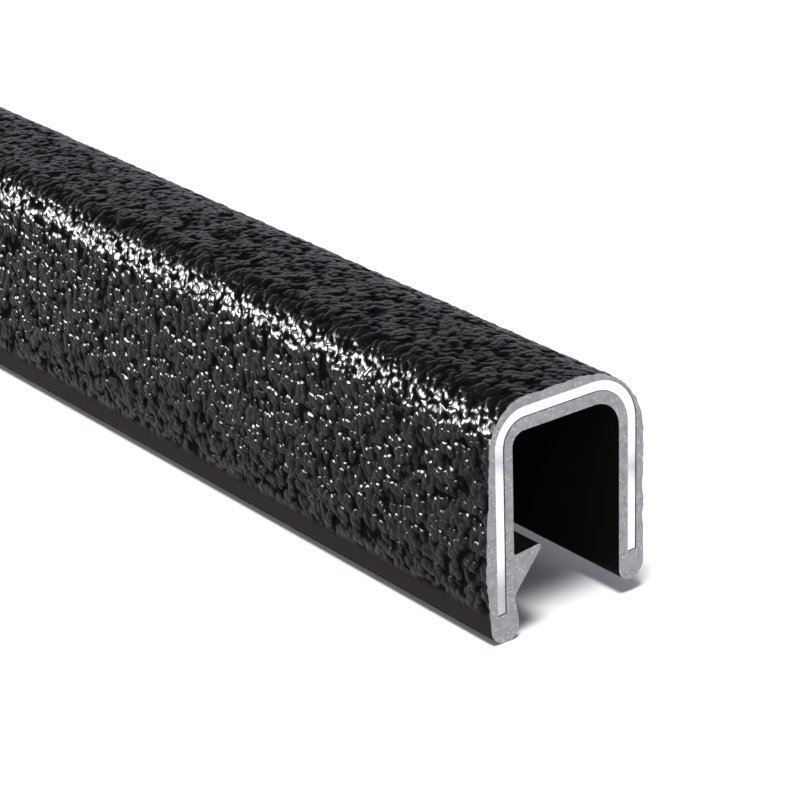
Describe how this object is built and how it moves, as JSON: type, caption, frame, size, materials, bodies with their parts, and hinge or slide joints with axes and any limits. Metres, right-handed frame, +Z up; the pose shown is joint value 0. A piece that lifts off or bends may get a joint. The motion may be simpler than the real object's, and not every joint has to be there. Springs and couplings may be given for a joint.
{
  "type": "edge trim seal",
  "caption": "Clip-on U-channel edge trim: a pebble-grained black PVC extrusion around a bent aluminium strip, with a barb on the long leg that grips a panel edge",
  "frame": {"origin": "middle of the footprint at the lowest point, which is the rounded tip of the long leg", "axes": "+Y along the trim's length, +Z up from the open mouth to the crown, +X across from the long leg to the short leg"},
  "size_m": [0.0154, 0.3048, 0.0193],
  "materials": {
    "black_pvc": "black flexible PVC, pebble-grained outside, smooth inside",
    "aluminium_strip": "bare strip, cut square at both ends"
  },
  "bodies": {
    "root": {"trim_cover": "black_pvc", "metal_core": "aluminium_strip"}
  },
  "joints": []
}
